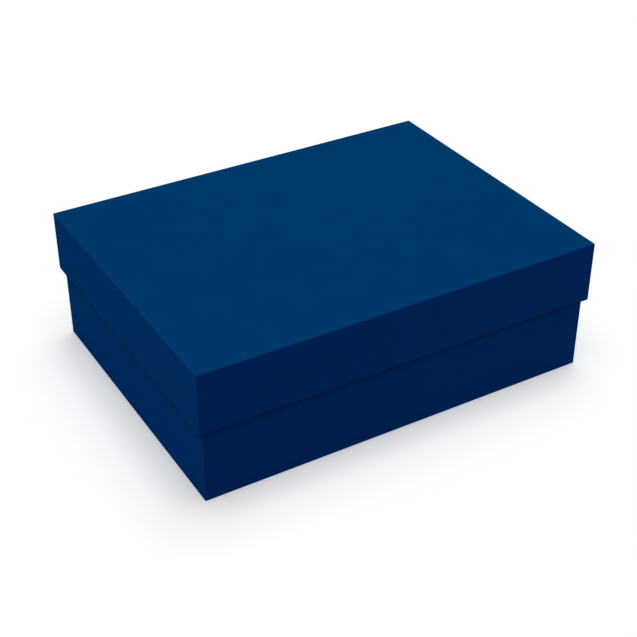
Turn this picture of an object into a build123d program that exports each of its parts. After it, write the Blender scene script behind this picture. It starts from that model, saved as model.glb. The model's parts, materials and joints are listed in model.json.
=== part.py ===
"""Two-piece rigid box with a lift-off lid, for papers and keepsakes.

Base and lid are made the same way. Five greyboard panels are glued edge to edge into a tray, gummed
tape holds its corners, one sheet of covering paper is folded round the outside, over the rim and down
inside, and lining paper covers the bare board and the raw edges of the covering.

Frame: millimetres, +Z up, origin at the centre of the footprint on the surface the box stands on.
X runs along the long sides, and the front is the long side that faces -Y.
"""
from build123d import *
import os

# Clear inside of the base: A4 and letter sheets lie flat in it
INSIDE_LENGTH = 305.0
INSIDE_WIDTH = 227.0
INSIDE_HEIGHT = 100.0
# From the lid's lining down to its rim
LID_INSIDE_DEPTH = 45.0
# Air on each side between the base and the lid that drops over it
LID_GAP = 0.5

# Thickness of each sheet material
BOARD = 2.0
WRAP = 0.3
LINING = 0.15
TAPE = 0.12

# Radius that a board's cut edge is crushed to where paper folds over it
BOARD_ARRIS = 0.2
# How far the covering reaches down inside from the rim
BASE_TURN_IN = 20.0
LID_TURN_IN = 20.0
# Slit between two turned-in flaps, and how much of the rim's corner it crosses
MITRE_SLIT = 0.2
MITRE_REACH = 0.7

# The wall lining stops short of the rim and steps out over the edge of the turned-in covering
LINING_SETBACK = 5.0
LINING_STEP = 1.0
# Gap left where two linings meet
LINING_TRIM = 0.3

# Corner tape: width on each side of the corner, and how far it stops short of the wall's ends
TAPE_LEG = 12.0
TAPE_SETBACK = 3.0

CORNERS = {
    "front_left": (-1, -1),
    "front_right": (1, -1),
    "back_left": (-1, 1),
    "back_right": (1, 1),
}


def slab(length, width, low, high, x=0.0, y=0.0):
    """An upright block between two heights, centred on (x, y)."""
    base_centred = (Align.CENTER, Align.CENTER, Align.MIN)
    return Pos(x, y, low) * Box(length, width, high - low, align=base_centred)


def rounded_tray(length, width, low, high, wall, floor, radius):
    """An open tray with its outer edges and both edges of its rim rounded off."""
    block = slab(length, width, low, high)
    tray = fillet(block.edges(), radius)
    tray -= slab(length - 2 * wall, width - 2 * wall, floor, high)
    inner_rim = tray.faces().sort_by(Axis.Z)[-1].inner_wires()[0]
    return fillet(inner_rim.edges(), radius)


class Tray:
    """One half of the box, standing on its outer panel with its rim up.

    The panel's covering lies on z = 0, and every size follows from the clear inside.
    """

    def __init__(self, inside_length, inside_width, inside_depth, turn_in):
        self.turn_in = turn_in
        self.wall = WRAP + BOARD + WRAP
        self.length = inside_length + 2 * (self.wall + LINING)
        self.width = inside_width + 2 * (self.wall + LINING)
        self.panel_top = WRAP + BOARD
        self.rim = self.panel_top + LINING + inside_depth
        self.wall_top = self.rim - WRAP
        self.board_length = self.length - 2 * WRAP
        self.board_width = self.width - 2 * WRAP
        self.bare_length = self.board_length - 2 * BOARD
        self.bare_width = self.board_width - 2 * BOARD

    def carcass(self):
        """The five boards as one body, before it is parted at the glue joints."""
        return rounded_tray(
            self.board_length, self.board_width, WRAP, self.wall_top, BOARD, self.panel_top, BOARD_ARRIS
        )

    def boards(self, panel, front):
        """The panel runs under all four walls, and the short walls butt between the long ones."""
        carcass = self.carcass()
        long_y = front * (self.board_width - BOARD) / 2
        short_x = (self.board_length - BOARD) / 2
        long_wall = (self.board_length, BOARD, self.panel_top, self.wall_top)
        short_wall = (BOARD, self.bare_width, self.panel_top, self.wall_top)
        return {
            f"{panel}_board": carcass & slab(self.board_length, self.board_width, WRAP, self.panel_top),
            "front_wall_board": carcass & slab(*long_wall, y=long_y),
            "back_wall_board": carcass & slab(*long_wall, y=-long_y),
            "left_wall_board": carcass & slab(*short_wall, x=-short_x),
            "right_wall_board": carcass & slab(*short_wall, x=short_x),
        }

    def corner_tape(self, side_x, side_y):
        """Gummed tape folded round an upright corner of the boards."""
        length = self.board_length + 2 * TAPE
        width = self.board_width + 2 * TAPE
        boards = RectangleRounded(self.board_length, self.board_width, BOARD_ARRIS)
        skin = RectangleRounded(length, width, BOARD_ARRIS + TAPE) - boards
        leg = 2 * (TAPE_LEG + TAPE)
        outline = skin & (Pos(side_x * length / 2, side_y * width / 2) * Rectangle(leg, leg))
        foot = WRAP + TAPE_SETBACK
        return extrude(Pos(0, 0, foot) * outline, self.wall_top - TAPE_SETBACK - foot)

    def mitre_slit(self, side_x, side_y):
        """The slit where two turned-in flaps meet, from the rim's corner down inside."""
        reach = 2 * MITRE_REACH * self.wall * 2 ** 0.5
        angle = 45 if side_x == side_y else -45
        corner = Pos(side_x * self.bare_length / 2, side_y * self.bare_width / 2, self.rim)
        return corner * Rot(Z=angle) * Box(reach, MITRE_SLIT, 2 * self.turn_in)

    def covering(self):
        """One sheet: panel, four walls, over the rim and down inside."""
        sheet = rounded_tray(
            self.length, self.width, 0, self.rim, self.wall, self.panel_top, BOARD_ARRIS + WRAP
        )
        sheet -= self.carcass()
        sheet -= slab(self.bare_length, self.bare_width, self.panel_top, self.rim - self.turn_in)
        for corner in CORNERS.values():
            sheet -= self.corner_tape(*corner)
            sheet -= self.mitre_slit(*corner)
        return sheet

    def wall_lining(self):
        """A strip round the inside walls, with its two ends meeting at one corner."""
        x = self.bare_length / 2
        y = self.bare_width / 2
        start_gap = WRAP + LINING_TRIM
        end_gap = WRAP + LINING + LINING_TRIM
        path = Polyline((-x, y - start_gap), (-x, -y), (x, -y), (x, y), (-x + end_gap, y))
        flap_end = self.rim - self.turn_in
        top = self.rim - LINING_SETBACK
        section = Polyline(
            (0, self.panel_top),
            (0, flap_end - LINING_STEP),
            (WRAP, flap_end),
            (WRAP, top),
            (WRAP + LINING, top),
            (WRAP + LINING, flap_end),
            (LINING, flap_end - LINING_STEP),
            (LINING, self.panel_top),
            close=True,
        )
        upright = Plane(origin=path @ 0, x_dir=(1, 0, 0), z_dir=path % 0)
        return sweep(upright * make_face(section), path=path, transition=Transition.RIGHT)

    def panel_lining(self):
        """The last sheet, laid on the panel between the lined walls."""
        trim = LINING + LINING_TRIM
        length = self.bare_length - 2 * trim
        width = self.bare_width - 2 * trim
        return slab(length, width, self.panel_top, self.panel_top + LINING)

    def pieces(self, panel, front):
        """Every piece by name. panel names the outer panel, and front is the side of y it faces."""
        made = self.boards(panel, front)
        for corner, (side_x, side_y) in CORNERS.items():
            made[f"corner_tape_{corner}"] = self.corner_tape(side_x, -side_y * front)
        made["covering"] = self.covering()
        made["wall_lining"] = self.wall_lining()
        made[f"{panel}_lining"] = self.panel_lining()
        return made


def box():
    """The closed box: the base stands on its floor, and the lid is turned over onto its rim."""
    base = Tray(INSIDE_LENGTH, INSIDE_WIDTH, INSIDE_HEIGHT, BASE_TURN_IN)
    lid = Tray(base.length + 2 * LID_GAP, base.width + 2 * LID_GAP, LID_INSIDE_DEPTH, LID_TURN_IN)
    lid_top = base.rim + LINING + lid.panel_top
    turned_over = Pos(0, 0, lid_top) * Rot(X=180)
    nodes = {f"base_{name}": piece for name, piece in base.pieces("floor", -1).items()}
    for name, piece in lid.pieces("top", 1).items():
        nodes[f"lid_{name}"] = turned_over * piece
    return nodes


os.makedirs("parts", exist_ok=True)
for node, piece in box().items():
    export_step(piece, f"parts/{node}.step")
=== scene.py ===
"""A paper-covered box with a lift-off lid: its papers, its boards, the table it stands on and the light."""
import json
import math

import bpy
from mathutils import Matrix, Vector


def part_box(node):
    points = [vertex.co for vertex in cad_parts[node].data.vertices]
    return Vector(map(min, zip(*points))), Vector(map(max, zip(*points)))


MM = 0.001

# Colours as linear light
WHITE = (1.0, 1.0, 1.0)
COVERING_BLUE = (0.0, 0.0154, 0.1096)
SHEEN_BLUE = (0.0, 1.0, 1.0)
RUBBED_BLUE = (0.012, 0.045, 0.19)
FIBRE_BLUE = (0.001, 0.03, 0.15)
LINING_WHITE = (0.82, 0.8, 0.75)
LINING_FIBRE = (0.62, 0.57, 0.49)
BOARD_GREY = (0.33, 0.3, 0.26)
BOARD_PALE_FLECK = (0.5, 0.46, 0.4)
BOARD_DARK_FLECK = (0.12, 0.1, 0.09)
KRAFT = (0.42, 0.26, 0.13)
KRAFT_FIBRE = (0.55, 0.38, 0.22)

# Parts of a colour, from thin to thick dye or pulp, and painted shade: in the pits of the tooth, along the
# flap's edge and at the lid's rim
DYE_RANGE = (0.97, 1.03)
LINING_RANGE = (0.985, 1.0)
BOARD_RANGE = (0.85, 1.12)
KRAFT_RANGE = (0.85, 1.15)
COVERING_PIT_SHADE = 0.5
LINING_PIT_SHADE = 0.85
FLAP_LINE_SHADE = 0.4
PAINTED_RIM_SHADE = 0.15

# How much of each colour change shows, the painted shade of the pits and of the flap's edge among them
COVERING_PIT_SHADE_SHOW = 0.8
LINING_PIT_SHADE_SHOW = 0.5
COVERING_FIBRE_SHOW = 0.5
LINING_FIBRE_SHOW = 0.25
BOARD_FIBRE_SHOW = 0.5
KRAFT_FIBRE_SHOW = 0.3
SPECK_SHOW = 0.6
RUB_SHOW = 0.2
FLAP_LINE_SHADE_SHOW = 0.7

# Sizes on the papers' faces, in millimetres
TOOTH_SIZE = 0.45
TOOTH_DEPTH = 0.08
FIBRE_LENGTH = 1.6
FIBRE_WIDTH = 0.1
CLOUD_SIZE = 22

# The covering's folds, in millimetres: rubbed edges, the painted shade at the lid's rim and the flap on each
# short side
RUB_WIDTH = 0.6
RUB_PATCH = 6
PAINTED_RIM_SHADE_SOLID = 0.6
PAINTED_RIM_SHADE_END = 1.2
WRAP = 0.3
FLAP_SETBACK = 1.2
FLAP_EDGE = 0.12
FLAP_STEP = 0.06

# The board and the corner tape, in millimetres
BOARD_GRAIN = 1.2
BOARD_FIBRE_LENGTH = 3.0
BOARD_FIBRE_WIDTH = 0.25
BOARD_DEPTH = 0.04
SPECK_SIZE = 0.7
STREAK_WIDTH = 0.4
STREAK_STRETCH = (1, 1, 12)
TAPE_FIBRE_LENGTH = 2.5
TAPE_FIBRE_WIDTH = 0.12
TAPE_DEPTH = 0.02

# Levels of a noise, which lies mostly near a half, between which a feature comes in
CLOUD_LEVELS = (0.3, 0.7)
# The pits' painted shade comes in where the grain is low, in the tooth's hollows
PIT_SHADE_LEVELS = (0.5, 0.3)
RUB_LEVELS = (0.4, 0.65)
SPECK_LEVELS = (0.68, 0.74)
COVERING_FIBRE_LEVELS = (0.62, 0.75)
LINING_FIBRE_LEVELS = (0.64, 0.76)
BOARD_FIBRE_LEVELS = (0.64, 0.74)
KRAFT_FIBRE_LEVELS = (0.62, 0.74)

# Octaves of each noise
PLAIN = 0.0
STRAND = 1.0
SOFT = 2.0
FINE = 3.0
COARSE = 4.0

# How much of the tooth is grain and how much fibres
GRAIN_PART = 0.6
FIBRE_PART = 0.4

# Roughness at the bottom and at the top of the grain
COVERING_ROUGHNESS = (0.62, 0.78)
LINING_ROUGHNESS = (0.78, 0.92)
BOARD_ROUGHNESS = (0.85, 0.95)
KRAFT_ROUGHNESS = (0.7, 0.85)
UNCOATED_SPECULAR = 0.2

# Share of the covering's gloss where the paper is seen edge-on
GLOSS = 0.0158
GRAZING_BLEND = 0.65
GLOSS_ROUGHNESS = 0.4

# The camera stands in front of the box, to its left and above
CAMERA_AT = (-0.42823, -0.7254, 0.58446)
CAMERA_AIMS_AT = (-0.0064, -0.0103, 0.03409)
LENS_MM = 75.12
SENSOR_MM = 36

# Level 1 shows a colour as it is written
AMBIENT = 0.08
# Each lamp's degrees round from the front towards the right, degrees up, degrees across, and level
BOX_LAMPS = {
    "key": (-28, 60, 14, 0.31),
    "side_key": (-67, 73, 12, 0.35),
    "low_fill": (-58, 8, 26, 0.66),
    "right_fill": (105, 6, 20, 0.34),
    "back": (149, 25, 35, 0.34),
}
FLOOR_LAMPS = {
    "floor_back": (134, 73, 31, 0.234),
    "floor_overhead": (-39, 82, 42, 0.444),
}
# The one lamp that gloss shows, so broad that the top looks the same from all round
GLOSS_LAMP = (0, 90, 120, 2.15)

# The floor reaches this many metres each way
FLOOR_REACH = 30
# What the floor throws back onto the box, and how the shade on it is tinted
FLOOR_BOUNCE = (0.35, 0.35, 0.35)
FLOOR_TINT = (1.0, 0.98, 0.985)
# Just over white, so that the open floor stays white through the render's noise
FLOOR_SHOWS = 1.008

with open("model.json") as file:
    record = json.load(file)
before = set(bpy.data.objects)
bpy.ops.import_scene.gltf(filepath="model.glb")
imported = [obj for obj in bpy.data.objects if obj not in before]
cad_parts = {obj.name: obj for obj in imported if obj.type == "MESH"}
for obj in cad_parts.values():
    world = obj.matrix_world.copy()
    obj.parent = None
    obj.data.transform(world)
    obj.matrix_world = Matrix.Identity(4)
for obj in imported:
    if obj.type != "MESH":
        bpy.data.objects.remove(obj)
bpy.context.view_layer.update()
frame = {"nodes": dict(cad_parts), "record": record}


class Reading:
    """One value in a material, written in sums like a number."""

    def __init__(self, finish, socket):
        self.finish = finish
        self.socket = socket

    def other(self, name):
        """Another output of the node that this value comes from."""
        return Reading(self.finish, self.socket.node.outputs[name])

    def math(self, operation, *others):
        return self.finish.math(operation, self, *others)

    def __add__(self, other):
        return self.math("ADD", other)

    def __sub__(self, other):
        return self.math("SUBTRACT", other)

    def __rsub__(self, other):
        return self.finish.math("SUBTRACT", other, self)

    def __mul__(self, other):
        return self.math("MULTIPLY", other)

    def __abs__(self):
        return self.math("ABSOLUTE")

    __radd__ = __add__
    __rmul__ = __mul__


class Finish:
    """The nodes of a material or of the world, with one way to make each of them."""

    def __init__(self, owner):
        self.owner = owner
        owner.use_nodes = True
        self.tree = owner.node_tree
        self.tree.nodes.clear()

    def node(self, kind, settings=None, values=None, output=0):
        """Settings are made first, then each named input gets its number, colour or link."""
        made = self.tree.nodes.new("ShaderNode" + kind)
        for name, setting in (settings or {}).items():
            setattr(made, name, setting)
        for name, value in (values or {}).items():
            if isinstance(value, Reading):
                self.tree.links.new(value.socket, made.inputs[name])
            else:
                made.inputs[name].default_value = value
        return Reading(self, made.outputs[output] if made.outputs else None)

    def math(self, operation, *values):
        return self.node("Math", {"operation": operation}, dict(enumerate(values)))

    def surface(self, shader):
        kind = "OutputWorld" if isinstance(self.owner, bpy.types.World) else "OutputMaterial"
        self.node(kind, values={"Surface": shader})

    def seen(self):
        """1 where the background itself is looked at, straight or in gloss or glass."""
        straight = self.node("LightPath", output="Is Camera Ray")
        in_gloss = straight.other("Is Glossy Ray")
        in_glass = straight.other("Is Transmission Ray")
        return straight.math("MAXIMUM", in_gloss).math("MAXIMUM", in_glass)

    def place(self, stretch=(1, 1, 1)):
        """Where a point lies on the box, in millimetres, drawn out along each axis by stretch."""
        here = self.node("TexCoord", output="Object")
        per_mm = [1 / (MM * times) for times in stretch]
        return self.node("VectorMath", {"operation": "MULTIPLY"}, {0: here, 1: per_mm})

    def cloud(self, where, size, detail):
        """Soft grains about size millimetres across, from 0 to 1 and mostly near a half."""
        return self.node("TexNoise", values={"Vector": where, "Scale": 1 / size, "Detail": detail})

    def ramp(self, value, off, on):
        """0 where value is at off or beyond, 1 where it is at on or beyond, and smooth between them."""
        sockets = {"Value": value, "From Min": off, "From Max": on}
        return self.node("MapRange", {"interpolation_type": "SMOOTHSTEP"}, sockets)

    def blend(self, share, colour, other):
        """The first colour where share is 0, the other where it is 1."""
        sockets = {0: share, 6: opaque(colour), 7: opaque(other)}
        return self.node("Mix", {"data_type": "RGBA"}, sockets, output=2)

    def relief(self, height):
        """A face that stands height millimetres proud."""
        return self.node("Bump", values={"Distance": MM, "Height": height})


def opaque(colour):
    return colour if isinstance(colour, Reading) else (*colour, 1)


def shade(colour, part):
    return tuple(part * channel for channel in colour)


def between(low, high, share):
    """low where share is 0 and high where it is 1."""
    return low + (high - low) * share


def midway(share):
    """1 where share is a half, falling to 0 where it is 0 or 1."""
    return 4 * share * (1 - share)


def material(name):
    return Finish(bpy.data.materials.new(name))


def fibres(finish, length, width):
    """Short strands that lie both ways on every face, as in felted paper."""
    along = length / width
    lying = [(along, 1, 1), (1, along, 1), (1, 1, along)]
    strands = [finish.cloud(finish.place(stretch), width, STRAND) for stretch in lying]
    return strands[0].math("MAXIMUM", strands[1]).math("MAXIMUM", strands[2])


def clouded(finish, share, colour, parts):
    """A colour that goes from the first part of itself to the second as share goes from 0 to 1."""
    thin, thick = parts
    return finish.blend(share, shade(colour, thin), shade(colour, thick))


def felt(paper):
    """What all fine paper has: its grain, its fibres, the clouds in its pulp and the height of its tooth."""
    grain = paper.cloud(paper.place(), TOOTH_SIZE, FINE)
    strands = fibres(paper, FIBRE_LENGTH, FIBRE_WIDTH)
    clouds = paper.ramp(paper.cloud(paper.place(), CLOUD_SIZE, SOFT), *CLOUD_LEVELS)
    tooth = TOOTH_DEPTH * (GRAIN_PART * grain + FIBRE_PART * strands)
    return grain, strands, clouds, tooth


def reaches(finish, node):
    """Millimetres from a tray's short sides, its long sides, its outer panel and its rim."""
    low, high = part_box(node)
    place = finish.node("SeparateXYZ", values={0: finish.place()})
    from_short = high[0] / MM - abs(place.other("X"))
    from_long = high[1] / MM - abs(place.other("Y"))
    from_bottom = place.other("Z") - low[2] / MM
    from_top = high[2] / MM - place.other("Z")
    from_panel, from_rim = (from_top, from_bottom) if node.startswith("lid") else (from_bottom, from_top)
    return from_short, from_long, from_panel, from_rim


def rubbed_folds(paper, from_short, from_long, from_panel):
    """1 in patches on the folds round the panel and up the corners, where hands and shelves rub them."""
    nearer = from_short.math("MINIMUM", from_long)
    further = from_short.math("MAXIMUM", from_long)
    to_fold = nearer.math("MAXIMUM", further.math("MINIMUM", from_panel))
    on_fold = 1 - paper.ramp(to_fold, 0.0, RUB_WIDTH)
    return on_fold * paper.ramp(paper.cloud(paper.place(), RUB_PATCH, SOFT), *RUB_LEVELS)


def painted_rim_shade(paper, from_short, from_long, from_rim):
    """1 on the fold where a side turns under the rim: painted shade, dark and without gloss, for the shadow
    under the lid's edge.
    """
    to_fold = from_short.math("MINIMUM", from_long).math("MAXIMUM", from_rim)
    return 1 - paper.ramp(to_fold, PAINTED_RIM_SHADE_SOLID, PAINTED_RIM_SHADE_END)


def end_flap(paper, from_short, from_long):
    """1 on the flap that covers each short side, which stops just short of the upright folds."""
    on_short = 1 - paper.ramp(from_short, WRAP / 2, WRAP)
    return on_short * paper.ramp(from_long, FLAP_SETBACK - FLAP_EDGE, FLAP_SETBACK + FLAP_EDGE)


def covering_paper(node):
    """Matt blue paper with rubbed folds and a flap on each short side, with painted shade in its pits, along
    each flap's edge and at the lid's rim.
    """
    paper = material(node + "_paper")
    grain, strands, clouds, tooth = felt(paper)
    from_short, from_long, from_panel, from_rim = reaches(paper, node)
    # Painted shade in the hollows of the tooth
    pit_shade = COVERING_PIT_SHADE_SHOW * paper.ramp(grain, *PIT_SHADE_LEVELS)
    fibred = COVERING_FIBRE_SHOW * paper.ramp(strands, *COVERING_FIBRE_LEVELS)
    rubbed = RUB_SHOW * rubbed_folds(paper, from_short, from_long, from_panel)
    flap = end_flap(paper, from_short, from_long)
    colour = clouded(paper, clouds, COVERING_BLUE, DYE_RANGE)
    colour = paper.blend(pit_shade, colour, shade(COVERING_BLUE, COVERING_PIT_SHADE))
    colour = paper.blend(fibred, colour, FIBRE_BLUE)
    colour = paper.blend(rubbed, colour, RUBBED_BLUE)
    shine = GLOSS * paper.node("LayerWeight", values={"Blend": GRAZING_BLEND}, output="Facing")
    # Painted shade at the lid's rim: darkened and without gloss where the shadow under the lid's edge falls
    if node.startswith("lid"):
        in_rim_shade = painted_rim_shade(paper, from_short, from_long, from_rim)
        colour = paper.blend(in_rim_shade, colour, shade(COVERING_BLUE, PAINTED_RIM_SHADE))
        shine = shine * (1 - in_rim_shade)
    # Painted shade: a dark hairline along the flap's edge, where its small step meets the side
    colour = paper.blend(FLAP_LINE_SHADE_SHOW * midway(flap), colour, shade(COVERING_BLUE, FLAP_LINE_SHADE))
    face = paper.relief(tooth + FLAP_STEP * flap)
    sockets = {"Base Color": colour, "Normal": face, "Specular IOR Level": 0.0}
    sockets["Roughness"] = between(*COVERING_ROUGHNESS, grain)
    body = paper.node("BsdfPrincipled", values=sockets)
    sockets = {"Color": opaque(SHEEN_BLUE), "Roughness": GLOSS_ROUGHNESS, "Normal": face}
    gloss = paper.node("BsdfGlossy", values=sockets)
    paper.surface(paper.node("MixShader", values={0: shine, 1: body, 2: gloss}))
    return paper.owner


def uncoated(finish, colour, roughness, height):
    """A dull face of bare paper or board, whose grain stands height millimetres proud."""
    sockets = {"Base Color": colour, "Roughness": roughness, "Normal": finish.relief(height)}
    sockets["Specular IOR Level"] = UNCOATED_SPECULAR
    finish.surface(finish.node("BsdfPrincipled", values=sockets))
    return finish.owner


def lining_paper():
    """Off-white paper with faint clouds, painted shade in its pits and a few darker fibres."""
    paper = material("lining_paper")
    grain, strands, clouds, tooth = felt(paper)
    # Painted shade in the hollows of the tooth
    pit_shade = LINING_PIT_SHADE_SHOW * paper.ramp(grain, *PIT_SHADE_LEVELS)
    fibred = LINING_FIBRE_SHOW * paper.ramp(strands, *LINING_FIBRE_LEVELS)
    colour = clouded(paper, clouds, LINING_WHITE, LINING_RANGE)
    colour = paper.blend(pit_shade, colour, shade(LINING_WHITE, LINING_PIT_SHADE))
    colour = paper.blend(fibred, colour, LINING_FIBRE)
    return uncoated(paper, colour, between(*LINING_ROUGHNESS, grain), tooth)


def greyboard():
    """Board of recycled pulp: grey-brown, with dark and pale flecks and a coarse face."""
    board = material("greyboard")
    grain = board.cloud(board.place(), BOARD_GRAIN, COARSE)
    strands = fibres(board, BOARD_FIBRE_LENGTH, BOARD_FIBRE_WIDTH)
    fibred = BOARD_FIBRE_SHOW * board.ramp(strands, *BOARD_FIBRE_LEVELS)
    specks = SPECK_SHOW * board.ramp(board.cloud(board.place(), SPECK_SIZE, PLAIN), *SPECK_LEVELS)
    colour = clouded(board, board.ramp(grain, *CLOUD_LEVELS), BOARD_GREY, BOARD_RANGE)
    colour = board.blend(fibred, colour, BOARD_PALE_FLECK)
    colour = board.blend(specks, colour, BOARD_DARK_FLECK)
    return uncoated(board, colour, between(*BOARD_ROUGHNESS, grain), BOARD_DEPTH * (grain + strands))


def corner_tape():
    """Gummed kraft tape, streaked along its length, which stands upright in the corner."""
    tape = material("corner_tape")
    streaks = tape.cloud(tape.place(STREAK_STRETCH), STREAK_WIDTH, FINE)
    strands = fibres(tape, TAPE_FIBRE_LENGTH, TAPE_FIBRE_WIDTH)
    fibred = KRAFT_FIBRE_SHOW * tape.ramp(strands, *KRAFT_FIBRE_LEVELS)
    colour = clouded(tape, tape.ramp(streaks, *CLOUD_LEVELS), KRAFT, KRAFT_RANGE)
    colour = tape.blend(fibred, colour, KRAFT_FIBRE)
    return uncoated(tape, colour, between(*KRAFT_ROUGHNESS, streaks), TAPE_DEPTH * (streaks + strands))


def floor_material():
    """White paper: its own light is what the lamps leave short of white, so only the shadow shows."""
    paper = material("studio_floor")
    lamps = FLOOR_LAMPS.values()
    lit = AMBIENT + sum(level * math.sin(math.radians(up)) for _, up, _, level in lamps)
    own_light = [FLOOR_SHOWS - lit * tint for tint in FLOOR_TINT]
    body = paper.node("BsdfDiffuse", values={"Color": opaque(FLOOR_TINT)})
    glow = paper.node("Emission", values={"Color": opaque(own_light)})
    white = paper.node("AddShader", values={0: body, 1: glow})
    bounce = paper.node("BsdfDiffuse", values={"Color": opaque(FLOOR_BOUNCE)})
    paper.surface(paper.node("MixShader", values={0: paper.seen(), 1: bounce, 2: white}))
    return paper.owner


def studio_floor():
    mesh = bpy.data.meshes.new("studio_floor")
    far = FLOOR_REACH
    mesh.from_pydata([(-far, -far, 0), (far, -far, 0), (far, far, 0), (-far, far, 0)], [], [(0, 1, 2, 3)])
    floor = bpy.data.objects.new("studio_floor", mesh)
    bpy.context.scene.collection.objects.link(floor)
    floor.data.materials.append(floor_material())
    return floor


def aim(thing, at, towards):
    thing.location = at
    thing.rotation_euler = (Vector(towards) - Vector(at)).to_track_quat("-Z", "Y").to_euler()


def add_camera():
    lens = bpy.data.cameras.new("camera")
    lens.lens = LENS_MM
    lens.sensor_width = SENSOR_MM
    camera = bpy.data.objects.new("camera", lens)
    aim(camera, CAMERA_AT, CAMERA_AIMS_AT)
    bpy.context.scene.collection.objects.link(camera)
    bpy.context.scene.camera = camera


def soft_lamp(name, setting, floor, told, for_gloss=False):
    """A far soft lamp, told to INCLUDE the floor and nothing else, or to EXCLUDE it.

    It lights what is dull in a surface, or, for_gloss, only what is glossy.
    """
    around, up, across, level = setting
    lamp = bpy.data.lights.new(name, "SUN")
    lamp.angle = math.radians(across)
    lamp.energy = level * math.pi
    stand = bpy.data.objects.new(name, lamp)
    turn, rise = math.radians(around), math.radians(up)
    away = (math.sin(turn) * math.cos(rise), -math.cos(turn) * math.cos(rise), math.sin(rise))
    aim(stand, away, (0, 0, 0))
    bpy.context.scene.collection.objects.link(stand)
    stand.visible_glossy = for_gloss
    stand.visible_diffuse = not for_gloss
    reached = bpy.data.collections.new(name + "_and_floor")
    reached.objects.link(floor)
    stand.light_linking.receiver_collection = reached
    reached.collection_objects[0].light_linking.link_state = told


def studio_world():
    world = bpy.data.worlds.new("studio")
    bpy.context.scene.world = world
    air = Finish(world)
    dim = air.node("Background", values={"Color": opaque(WHITE), "Strength": AMBIENT})
    white = air.node("Background", values={"Color": opaque(WHITE)})
    air.surface(air.node("MixShader", values={0: air.seen(), 1: dim, 2: white}))


finishes = {"lining_paper": lining_paper(), "greyboard": greyboard(), "corner_tape": corner_tape()}
for part in frame["record"]["subparts"]:
    name, slot = part["node"], part["material_slot"]
    node = frame["nodes"][name]
    node.data.materials.clear()
    node.data.materials.append(covering_paper(name) if slot == "covering_paper" else finishes[slot])

floor = studio_floor()
add_camera()
for name, setting in BOX_LAMPS.items():
    soft_lamp(name, setting, floor, "EXCLUDE")
for name, setting in FLOOR_LAMPS.items():
    soft_lamp(name, setting, floor, "INCLUDE")
soft_lamp("gloss_overhead", GLOSS_LAMP, floor, "EXCLUDE", for_gloss=True)
studio_world()
bpy.context.scene.view_settings.view_transform = "Standard"
